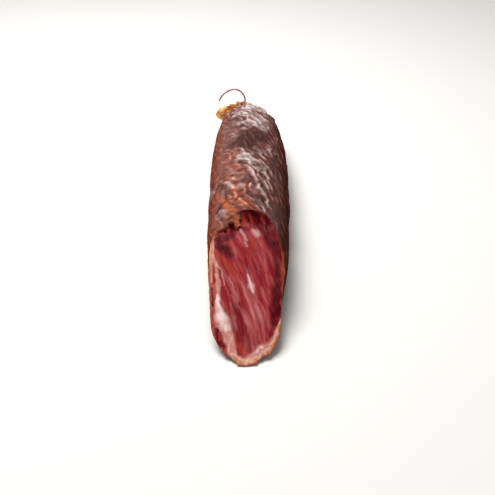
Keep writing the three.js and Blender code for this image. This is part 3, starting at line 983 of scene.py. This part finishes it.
# %% One helper for all node trees
# fields that many nodes share
RGB = {"data_type": "RGBA"}
TIMES = {"operation": "MULTIPLY"}
LESS = {"operation": "SUBTRACT"}
TIMES_PLUS = {"operation": "MULTIPLY_ADD", "use_clamp": True}


def linear(colour):
    """A colour written as sRGB hex, turned to the linear values that materials work with."""
    parts = [int(colour[i : i + 2], 16) / 255 for i in (0, 2, 4)]
    return tuple(p / 12.92 if p <= 0.04045 else ((p + 0.055) / 1.055) ** 2.4 for p in parts) + (1.0,)


def fill(tree, node, sockets):
    """Fills sockets of a node with values or with other nodes' outputs."""
    for socket, value in sockets.items():
        if isinstance(value, bpy.types.NodeSocket):
            tree.links.new(value, node.inputs[socket])
        else:
            node.inputs[socket].default_value = value


def add(tree, kind, sockets=None, stops=(), **fields):
    """Adds a node, sets its fields, fills its sockets and sets its colour stops, if it has any."""
    node = tree.nodes.new("ShaderNode" + kind)
    for field, value in fields.items():
        setattr(node, field, value)
    fill(tree, node, sockets or {})
    if stops:
        elements = node.color_ramp.elements
        for element, (position, colour) in zip(elements, (stops[0], stops[-1])):
            element.position = position
            element.color = linear(colour)
        for position, colour in stops[1:-1]:
            elements.new(position).color = linear(colour)
    return node


def new_material(name):
    """An empty material with its tree and the surface that the tree feeds."""
    made = bpy.data.materials.new(name)
    made.use_nodes = True
    made.node_tree.nodes.clear()
    surface = add(made.node_tree, "BsdfPrincipled", {"Specular IOR Level": 0.15})
    add(made.node_tree, "OutputMaterial", {"Surface": surface.outputs[0]})
    return made, made.node_tree, surface


print("dark brown 3C1A15 is", [round(v, 3) for v in linear("3C1A15")[:3]])


# %% [markdown]
# The edge where the knife passed belongs to the casing and to the meat, so both materials finish it in the
# same way: a warm brown line along the cut skin, paler at the top left and tan on the fat. It could be a
# third material, but its border would then follow the faces, and a mask on the points fades out softly.

# %% Edge that both materials share
EDGE_BROWN = "B0623E"
EDGE_PALE = "E0A88C"


def finish_edge(tree, mask, colour, reach, pale, mottle, tans, tan_share):
    """Lays the edge over a colour, from the first to the second reach in mm from the rim."""
    edge = add(tree, "MapRange", {0: mask["rim"], 1: reach[0], 2: reach[1], 3: 0.0, 4: mask["rim_light"]})
    warm = add(tree, "Mix", {0: mask["pale_edge"], 6: linear(EDGE_BROWN), 7: linear(EDGE_PALE)}, **RGB)
    pale_part = add(tree, "Math", {0: mask["pale_edge"], 1: 0.8}, **TIMES)
    tan = add(tree, "Mix", {0: mottle, 6: linear(tans[0]), 7: linear(tans[1])}, **RGB)
    tan_part = add(tree, "Math", {0: mask["tan_edge"], 1: tan_share}, **TIMES)
    for part, over in ((edge, warm.outputs[2]), (pale_part, linear(pale)), (tan_part, tan.outputs[2])):
        colour = add(tree, "Mix", {0: part.outputs[0], 6: colour, 7: over}, **RGB).outputs[2]
    return colour


print("edge from", EDGE_BROWN, "to", EDGE_PALE)

# %% [markdown]
# The skin is air-dried natural casing: cleaned gut that was pushed over the wet meat and dried on it for
# weeks. To the eye that is a dull brown leather, lighter and dustier on its crests than in its hollows,
# golden where it lies thin over fat, with a low gloss on top and hardly any down the flanks. Part of the
# lightness of the crests is painted highlight, and the hollows carry painted shade.

# %% Air-dried natural casing: patterns
casing, tree, surface = new_material("air_dried_natural_casing")
CASING_MASKS = (
    "crest", "bloom_and_fold_highlight", "amber", "shade", "strip", "flank", "smooth",
    "rim", "rim_light", "pale_edge", "tan_edge",
)
mask = {name: add(tree, "Attribute", attribute_name=name).outputs["Fac"] for name in CASING_MASKS}
wrinkle = add(tree, "Attribute", attribute_name="wrinkle").outputs["Vector"]
place_on = add(tree, "TexCoord").outputs["Object"]
# fine creases are 1.5 mm wide and 5.5 mm long
drawn = add(tree, "Mapping", {"Vector": wrinkle, "Scale": (1 / 1.5, 1 / 5.5, 1)}).outputs[0]
creases = {"Vector": drawn, "Scale": 1.0, "Detail": 4.0, "Roughness": 0.6}
fine = add(tree, "TexNoise", creases).outputs["Fac"]
# 1.4 grains to the mm is coarser than the pores of gut, which are too fine to show
grains = {"Vector": place_on, "Scale": 1.4 / MM, "Detail": 3.0, "Roughness": 0.6}
grain = add(tree, "TexNoise", grains).outputs["Fac"]
# blotches are about 5 mm across
blotches = {"Vector": place_on, "Scale": 0.21 / MM, "Detail": 3.0, "Roughness": 0.55}
blotch = add(tree, "TexNoise", blotches).outputs["Fac"]
print("casing reads", len(CASING_MASKS) + 1, "attributes")

# %% Air-dried natural casing: skin from hollow to crest
# creases go from -0.5 to 0.5, and are weaker where the casing lies smooth
crease = add(tree, "Math", {0: fine, 1: 0.5}, **LESS).outputs[0]
fewer = add(tree, "MapRange", {0: mask["smooth"], 1: 0.0, 2: 1.0, 3: 1.0, 4: 0.2}).outputs[0]
crease = add(tree, "Math", {0: crease, 1: fewer}, **TIMES).outputs[0]
uneven = add(tree, "Math", {0: blotch, 1: 0.5}, **LESS).outputs[0]
raised = {0: crease, 1: 0.4, 2: mask["crest"]}
height = add(tree, "Math", raised, operation="MULTIPLY_ADD").outputs[0]
height = add(tree, "Math", {0: uneven, 1: 0.6, 2: height}, **TIMES_PLUS).outputs[0]
# both ramps darken towards the hollows as painted shade, and pale towards the crests partly from dust and
# partly as painted highlight
BROWN = ((0.08, "3C1A15"), (0.28, "5A2B24"), (0.52, "72423A"), (0.78, "926A63"), (1.0, "C0A098"))
GOLDEN = ((0.08, "561E0E"), (0.28, "702C14"), (0.52, "9C4E2C"), (0.78, "C87E5C"), (1.0, "DEA88C"))
brown = add(tree, "ValToRGB", {"Fac": height}, BROWN).outputs[0]
golden = add(tree, "ValToRGB", {"Fac": height}, GOLDEN).outputs[0]
amber_part = add(tree, "Math", {0: uneven, 1: 0.8, 2: mask["amber"]}, **TIMES_PLUS).outputs[0]
print("from", BROWN[0][1], "to", BROWN[-1][1], "and golden from", GOLDEN[0][1], "to", GOLDEN[-1][1])

# %% Air-dried natural casing: layers and surface
# painted shade: where the shade mask lies, the hollows turn darkest
hollow = add(tree, "MapRange", {0: height, 1: 0.25, 2: 0.85, 3: 0.97, 4: 0.55}).outputs[0]
shade_part = add(tree, "Math", {0: mask["shade"], 1: hollow}, **TIMES).outputs[0]
dust_and_highlight = add(tree, "MapRange", {0: height, 1: 0.1, 2: 0.8, 3: 0.35, 4: 1.15}).outputs[0]
dust_and_highlight = add(tree, "Math", {0: mask["bloom_and_fold_highlight"], 1: dust_and_highlight}, **TIMES).outputs[0]
dust_and_highlight = add(tree, "MapRange", {0: dust_and_highlight, 1: 0.1, 2: 0.85, 4: 0.9}).outputs[0]
colour = brown
# amber areas, then painted shade that turns the hollows near-black, then grey-white bloom
for part, over in ((amber_part, golden), (shade_part, linear("361007")), (dust_and_highlight, linear("CBBFBB"))):
    colour = add(tree, "Mix", {0: part, 6: colour, 7: over}, **RGB).outputs[2]
colour = finish_edge(tree, mask, colour, (1.3, 0.2), "DC8C58", blotch, ("742410", "B8663C"), 0.8)
orange_part = add(tree, "MapRange", {0: fine, 1: 0.32, 2: 0.68}).outputs[0]
orange = add(tree, "Mix", {0: orange_part, 6: linear("842E10"), 7: linear("CE6E38")}, **RGB).outputs[2]
strip_part = add(tree, "Math", {0: mask["strip"], 1: 0.75}, **TIMES).outputs[0]
colour = add(tree, "Mix", {0: strip_part, 6: colour, 7: orange}, **RGB).outputs[2]
rough = add(tree, "MapRange", {0: fine, 1: 0.3, 2: 0.7, 3: 0.42, 4: 0.6}).outputs[0]
rough = add(tree, "Math", {0: mask["flank"], 1: 0.35, 2: rough}, **TIMES_PLUS).outputs[0]
gloss = add(tree, "MapRange", {0: mask["flank"], 1: 0.0, 2: 1.0, 3: 0.25, 4: 0.01}).outputs[0]
creased = add(tree, "Bump", {"Strength": 0.7, "Distance": 0.6 * MM, "Height": crease}).outputs[0]
grained = {"Strength": 0.35, "Distance": 0.3 * MM, "Height": grain, "Normal": creased}
bump = add(tree, "Bump", grained).outputs[0]
fill(tree, surface, {"Base Color": colour, "Roughness": rough, "Specular IOR Level": gloss, "Normal": bump})
print("casing:", len(tree.nodes), "nodes")

# %% [markdown]
# The near end is knife-cut cured pork: lean muscle that darkened as it dried, marbled with fat along its
# fibres. To the eye that is a deep red with paler seams and darker threads and a low moist gleam, and fat
# that is pink-white where it is thick and amber-brown where it has dried at the edge. One bright spot of
# the gleam is a painted highlight.

# %% Knife-cut cured pork: patterns
meat, tree, surface = new_material("knife_cut_cured_pork")
MEAT_MASKS = (
    "fat", "fat_tone", "highlight_and_pale_streak", "pale", "red_seam", "dark", "rim", "rim_light", "pale_edge", "tan_edge",
)
# name, place in the noise, width and length in mm, detail and unevenness of each pattern along the fibres
ALONG_FIBRES = (
    ("bundles", (0, 0, 0), 3.6, 24.0, 3.0, 0.55),
    ("seams", (7, 3, 0), 2.6, 18.0, 2.0, 0.5),
    ("threads", (0, 0, 0), 0.9, 11.0, 3.0, 0.6),
    ("mottle", (0, 0, 0), 2.6, 6.0, 3.0, 0.5),
)
mask = {name: add(tree, "Attribute", attribute_name=name).outputs["Fac"] for name in MEAT_MASKS}
fibre = add(tree, "Attribute", attribute_name="fibre").outputs["Vector"]
grown = {}
for name, start, wide, long, detail, unevenness in ALONG_FIBRES:
    stretched = {"Vector": fibre, "Location": start, "Scale": (1 / wide, 1 / long, 1)}
    drawn = add(tree, "Mapping", stretched).outputs[0]
    noise = {"Vector": drawn, "Scale": 1.0, "Detail": detail, "Roughness": unevenness}
    grown[name] = add(tree, "TexNoise", noise).outputs["Fac"]
place_on = add(tree, "TexCoord").outputs["Object"]
# 1.3 grains to the mm is about the width of a fibre bundle seen end on
grains = {"Vector": place_on, "Scale": 1.3 / MM, "Detail": 3.0, "Roughness": 0.6}
grain = add(tree, "TexNoise", grains).outputs["Fac"]
print("patterns along the fibres:", ", ".join(grown))

# %% Knife-cut cured pork: fat
FAT = ((0.0, "C07C58"), (0.22, "DEB098"), (0.5, "B6736C"), (0.7, "D8A8A0"), (1.0, "F2DCD6"))
mottled = add(tree, "Math", {0: grown["mottle"], 1: 0.5}, **LESS).outputs[0]
toned = add(tree, "Math", {0: mottled, 1: 1.1, 2: mask["fat_tone"]}, **TIMES_PLUS).outputs[0]
light_fat = add(tree, "ValToRGB", {"Fac": toned}, FAT).outputs[0]
dark_fat = add(tree, "Mix", {0: 0.35, 6: light_fat, 7: linear("A8605A")}, **RGB).outputs[2]
fatty = add(tree, "MapRange", {0: grown["threads"], 1: 0.25, 2: 0.75}).outputs[0]
fat_colour = add(tree, "Mix", {0: fatty, 6: dark_fat, 7: light_fat}, **RGB).outputs[2]
print("fat from", FAT[0][1], "at the edge to", FAT[-1][1])

# %% Knife-cut cured pork: layers and surface
LEAN = ((0.3, "6A0E1C"), (0.46, "861A24"), (0.58, "982F31"), (0.72, "AE5250"))
lean = add(tree, "ValToRGB", {"Fac": grown["bundles"]}, LEAN).outputs[0]
marbled = add(tree, "MapRange", {0: grown["seams"], 1: 0.55, 2: 0.75, 3: 0.0, 4: 0.5}).outputs[0]
pale_part = add(tree, "Math", {0: mask["pale"], 1: 0.56}, use_clamp=True, **TIMES).outputs[0]
threaded = add(tree, "MapRange", {0: grown["threads"], 1: 0.3, 2: 0.7, 3: 0.0, 4: 0.3}).outputs[0]
denser = add(tree, "MapRange", {0: grown["bundles"], 1: 0.3, 2: 0.7, 3: 1.0, 4: 0.75}).outputs[0]
dark_part = add(tree, "Math", {0: mask["dark"], 1: denser}, **TIMES).outputs[0]
red_part = add(tree, "Math", {0: mask["red_seam"], 1: 0.62}, use_clamp=True, **TIMES).outputs[0]
highlight_and_streak_part = add(tree, "Math", {0: mask["highlight_and_pale_streak"], 1: 0.92}, **TIMES).outputs[0]
LAYERS = (
    (marbled, linear("BE6C68")),  # pale seams between the bundles of fibres
    (pale_part, linear("CC8280")),  # pale streaks
    (threaded, linear("78141E")),  # darker threads in the lean meat
    # the next layer also holds the painted shade in the pockets and under the lip
    (dark_part, linear("480009")),  # muscle that dried darkest, and pockets
    (red_part, linear("A63A20")),  # orange-red meat along the seams
    # the white layer is a painted highlight on the moist meat, with the soft pale streaks
    (highlight_and_streak_part, linear("F4D2D0")),  # white streaks of fat
    (mask["fat"], fat_colour),
)
colour = lean
for part, over in LAYERS:
    colour = add(tree, "Mix", {0: part, 6: colour, 7: over}, **RGB).outputs[2]
colour = finish_edge(tree, mask, colour, (-1.2, -0.1), "E6A884", grown["mottle"], ("7E2610", "C06C44"), 0.85)
rough = add(tree, "MapRange", {0: grown["threads"], 1: 0.3, 2: 0.7, 3: 0.3, 4: 0.5}).outputs[0]
grooved = add(tree, "Bump", {"Strength": 0.6, "Distance": 0.5 * MM, "Height": grown["threads"]}).outputs[0]
grained = {"Strength": 0.25, "Distance": 0.2 * MM, "Height": grain, "Normal": grooved}
bump = add(tree, "Bump", grained).outputs[0]
fill(tree, surface, {"Base Color": colour, "Roughness": rough, "Specular IOR Level": 0.06, "Normal": bump})
print("meat:", len(tree.nodes), "nodes in", len(LAYERS), "layers of colour")

# %% [markdown]
# Casing and meat are one closed mesh, because they can't be taken apart. Each face takes the material that
# most of its points belong to.

# %% Both materials on the loin
loin.data.materials.append(casing)
loin.data.materials.append(meat)
for face in loin.data.polygons:
    points_on_meat = sum(on_meat[i] for i in face.vertices)
    face.material_index = int(points_on_meat > len(face.vertices) / 2)
loin.data.update()
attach(loin, "root")
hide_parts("loin")
print("faces of meat:", sum(face.material_index for face in loin.data.polygons))

# %% [markdown]
# Beyond the tie the empty end of the casing has dried into a stiff amber frill with one big rolled lobe. It
# could be a cloth that is pinched and left to fall, but dried gut is stiff. A flattened ball reshaped by
# its angle gives a closed frill whose lobes, rolled edge and ruffles can each be set by one number.

# %% Frill of casing beyond the tie
FRILL_Y = 341.0
FRILL_REACH = 9.5
FRILL_HALF_THICKNESS = 1.1
# angle and width in degrees, extra reach and extra half thickness in mm of each lobe
LOBES = (
    (189, 27, 17.5, 6.5), (150, 12, 4.0, 1.5), (118, 12, 1.6, 0.6), (80, 20, 1.6, 1.2), (20, 30, 3.0, 0.5),
    (300, 35, 3.0, 0.5),
)
bpy.ops.object.select_all(action="DESELECT")
bpy.ops.mesh.primitive_uv_sphere_add(segments=128, ring_count=48, radius=1, location=(0, 0, 0))
frill = bpy.context.object
frill.name = "dried_frill"
ball = points_of(frill)
turn = np.degrees(np.arctan2(ball[:, 1], ball[:, 0])) % 360
out = np.hypot(ball[:, 0], ball[:, 1])
reach = np.full(len(turn), FRILL_REACH)
thick = np.full(len(turn), FRILL_HALF_THICKNESS)
for angle, width, more_reach, more_thick in LOBES:
    near = np.exp(-np.abs(((turn - angle + 180) % 360 - 180) / width) ** 3)
    reach += more_reach * near
    # a lobe is thickest at about three quarters of its reach
    thick += more_thick * near * np.exp(-(((out - 0.78) / 0.3) ** 2))
thin_part = 1 - ramp(thick, 2, 4)
print(len(LOBES), "lobes, the longest", round(reach.max(), 1), "mm long")


# %% Its ruffles, ridges and rolled edge
def wave(degrees):
    """The sine of an angle in degrees."""
    return np.sin(np.radians(degrees))


uneven_turn = turn + 16 * wave(turn * 2 + 30) + 9 * wave(turn * 3 + 200)
edge_wave = 0.6 * wave(uneven_turn * 9) + 0.5 * thin_part * wave(uneven_turn * 23)
ruffle = (1.6 * wave(uneven_turn * 7 + 40) + thin_part * wave(turn * 13 + 90 * out)) * out**2
ridges = 0.5 * wave(uneven_turn * 31) * out * thin_part
lobe_folds = 0.8 * np.cos(np.radians(turn * 17) + 5 * out) * ramp(out, 0.3, 0.6) * ramp(thick, 2, 4)
# the rolled lobe is hollow in front and dented behind
front_hollow = np.exp(-(((turn - 178) / 11) ** 2) - ((out - 0.66) / 0.15) ** 2)
back_hollow = np.exp(-(((turn - 196) / 8) ** 2) - ((out - 0.62) / 0.2) ** 2)
cup = 3.2 * ramp(-ball[:, 2], 0, 0.4) * front_hollow - 2.6 * ramp(ball[:, 2], 0, 0.4) * back_hollow
radius = out * (reach + edge_wave)
frill_x = NECK_X + radius * np.cos(np.radians(turn))
frill_y = FRILL_Y + ball[:, 2] * (thick + ridges + lobe_folds) + cup + ruffle + out**2
frill_z = NECK_Z + radius * np.sin(np.radians(turn))
shape_points(frill, np.array(TIP) + MM * np.c_[frill_x, frill_y, frill_z])
edit_whole_mesh()
close_with_faces_out()
bpy.ops.object.shade_smooth()
lobe = frill.data.attributes.new("lobe", "FLOAT", "POINT")
lobe.data.foreach_set("value", (1 - thin_part).astype(np.float32))
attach(frill, "root")
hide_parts("loin")
print("frill from", mm_from_tip(frill).min(1).round(1), "to", mm_from_tip(frill).max(1).round(1))

# %% [markdown]
# The frill is dried casing with nothing behind it: gut that was drawn to a point, tied and left to dry in
# the air. To the eye that is an amber parchment, honey-coloured and faintly see-through where it is rolled
# up, browner where it is thin, with a soft gloss. Light that scatters a few mm inside gives it its glow.

# %% Amber dried casing
amber_skin, tree, surface = new_material("amber_dried_casing")
AMBER_SKIN = ((0.3, "A85820"), (0.5, "E6A862"), (0.72, "F8DCA8"))
place_on = add(tree, "TexCoord").outputs["Object"]
# clouds are about 8 mm across, and crinkles about 2 mm
clouds = {"Vector": place_on, "Scale": 0.12 / MM, "Detail": 2.0, "Roughness": 0.45}
cloud = add(tree, "TexNoise", clouds).outputs["Fac"]
crinkles = {"Vector": place_on, "Scale": 0.52 / MM, "Detail": 3.0, "Roughness": 0.55}
crinkle = add(tree, "TexNoise", crinkles).outputs["Fac"]
honey = add(tree, "ValToRGB", {"Fac": cloud}, AMBER_SKIN).outputs[0]
lobe_part = add(tree, "Attribute", attribute_name="lobe").outputs["Fac"]
thin_brown = add(tree, "MapRange", {0: lobe_part, 1: 0.0, 2: 0.7, 3: 0.6, 4: 0.0}).outputs[0]
colour = add(tree, "Mix", {0: thin_brown, 6: honey, 7: linear("9A4A1C")}, **RGB).outputs[2]
rough = add(tree, "MapRange", {0: crinkle, 1: 0.3, 2: 0.7, 3: 0.28, 4: 0.5}).outputs[0]
bump = add(tree, "Bump", {"Strength": 0.3, "Distance": 0.4 * MM, "Height": crinkle}).outputs[0]
glow = {"Subsurface Weight": 0.25, "Subsurface Radius": (4 * MM, 2 * MM, 1 * MM), "Subsurface Scale": 1.0}
fill(tree, surface, {"Base Color": colour, "Roughness": rough, "Normal": bump, **glow})
frill.data.materials.append(amber_skin)
print("frill:", len(tree.nodes), "nodes")

# %% [markdown]
# The string is twisted cotton that the brine and the juice of the meat stained red-brown. To the eye that
# is a matt, slightly fuzzy thread, paler where the stain has not soaked in. The plies are in the mesh, so
# the bump adds only the fuzz.

# %% Stained cotton string
cotton, tree, surface = new_material("stained_cotton_string")
place_on = add(tree, "TexCoord").outputs["Object"]
# 2.5 hairs to the mm: real cotton is far finer, which would not show. Stains are about 9 mm long
hairs = {"Vector": place_on, "Scale": 2.5 / MM, "Detail": 3.0, "Roughness": 0.6}
fuzz = add(tree, "TexNoise", hairs).outputs["Fac"]
stains = {"Vector": place_on, "Scale": 0.11 / MM, "Detail": 2.0, "Roughness": 0.5}
stain = add(tree, "TexNoise", stains).outputs["Fac"]
colour = add(tree, "ValToRGB", {"Fac": stain}, ((0.35, "9A4E4A"), (0.68, "CCA29E"))).outputs[0]
bump = add(tree, "Bump", {"Strength": 0.5, "Distance": 0.2 * MM, "Height": fuzz}).outputs[0]
fill(tree, surface, {"Base Color": colour, "Roughness": 0.75, "Normal": bump})
for piece in (string_curl, string_turns, string_knot):
    piece.data.materials.append(cotton)
print("string:", len(tree.nodes), "nodes on three pieces")

# %% [markdown]
# The loin lies on a plain pale floor, painted matt, that only catches its shadow. A small lamp would draw
# hard shadows into every wrinkle, so one large softbox stands high up on the left, beyond the loin, and a
# weak, even light from all round fills the side towards the camera.

# %% Floor
floor_material, tree, surface = new_material("matt_pale_paint")
fill(tree, surface, {"Base Color": linear("E6E4E0"), "Roughness": 0.8})
bpy.ops.object.select_all(action="DESELECT")
bpy.ops.mesh.primitive_plane_add(size=8, location=(0, 0, 0))
floor = bpy.context.object
floor.name = "floor"
floor.data.materials.append(floor_material)
print("floor:", floor.dimensions.x, "m wide")

# %% Light
FILL_LIGHT = 0.35
SOFTBOX_PLACE = (-0.28, 0.2, 1.05)
SOFTBOX_AIM = (0, -0.05, 0)
SOFTBOX_SIZE = 0.7
SOFTBOX_WATTS = 16.5
bpy.context.scene.view_settings.view_transform = "Standard"
world = bpy.data.worlds.new("soft_studio")
world.use_nodes = True
fill(world.node_tree, world.node_tree.nodes["Background"], {0: linear("F4F4F6"), 1: FILL_LIGHT})
bpy.context.scene.world = world
bpy.ops.object.light_add(type="AREA", location=SOFTBOX_PLACE)
softbox = bpy.context.object
softbox.data.energy = SOFTBOX_WATTS
softbox.data.size = SOFTBOX_SIZE
softbox.rotation_euler = (Vector(SOFTBOX_AIM) - softbox.location).to_track_quat("-Z", "Y").to_euler()
print("softbox", round(softbox.location.length, 2), "m from the loin")
